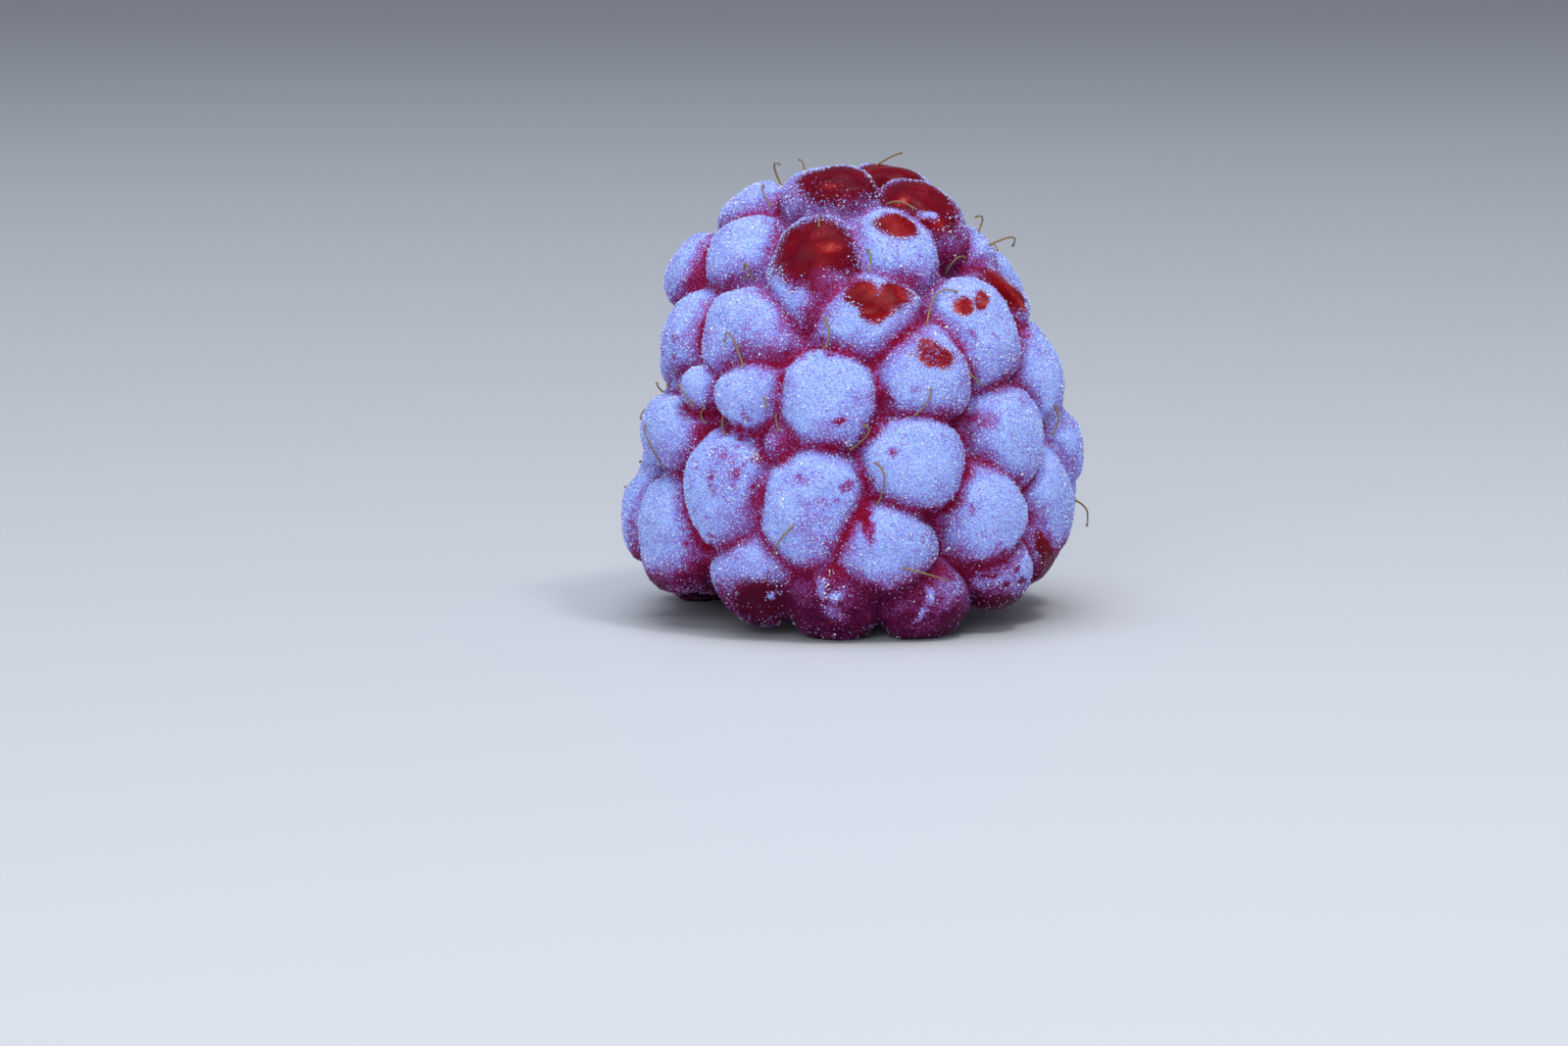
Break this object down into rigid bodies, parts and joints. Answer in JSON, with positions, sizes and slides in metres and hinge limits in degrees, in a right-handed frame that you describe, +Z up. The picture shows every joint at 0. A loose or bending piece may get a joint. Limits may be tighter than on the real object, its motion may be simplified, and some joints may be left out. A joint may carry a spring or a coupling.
{
  "type": "raspberry",
  "caption": "Frozen ripe raspberry as picked, a hollow pointed cup of fused drupelets under hoar frost, standing on its open end; food prop or sorting and gripping test piece",
  "frame": {"origin": "on the surface the berry stands on, below the middle of its bounding box", "axes": "+Z up through the tip, -Y the front of the berry, +X to its right as seen from the front"},
  "size_m": [0.0209, 0.0208, 0.0205],
  "materials": {
    "berry_skin": "frosted skin, dark red where it is bare"
  },
  "bodies": {
    "root": {"raspberry": "berry_skin"}
  },
  "joints": []
}
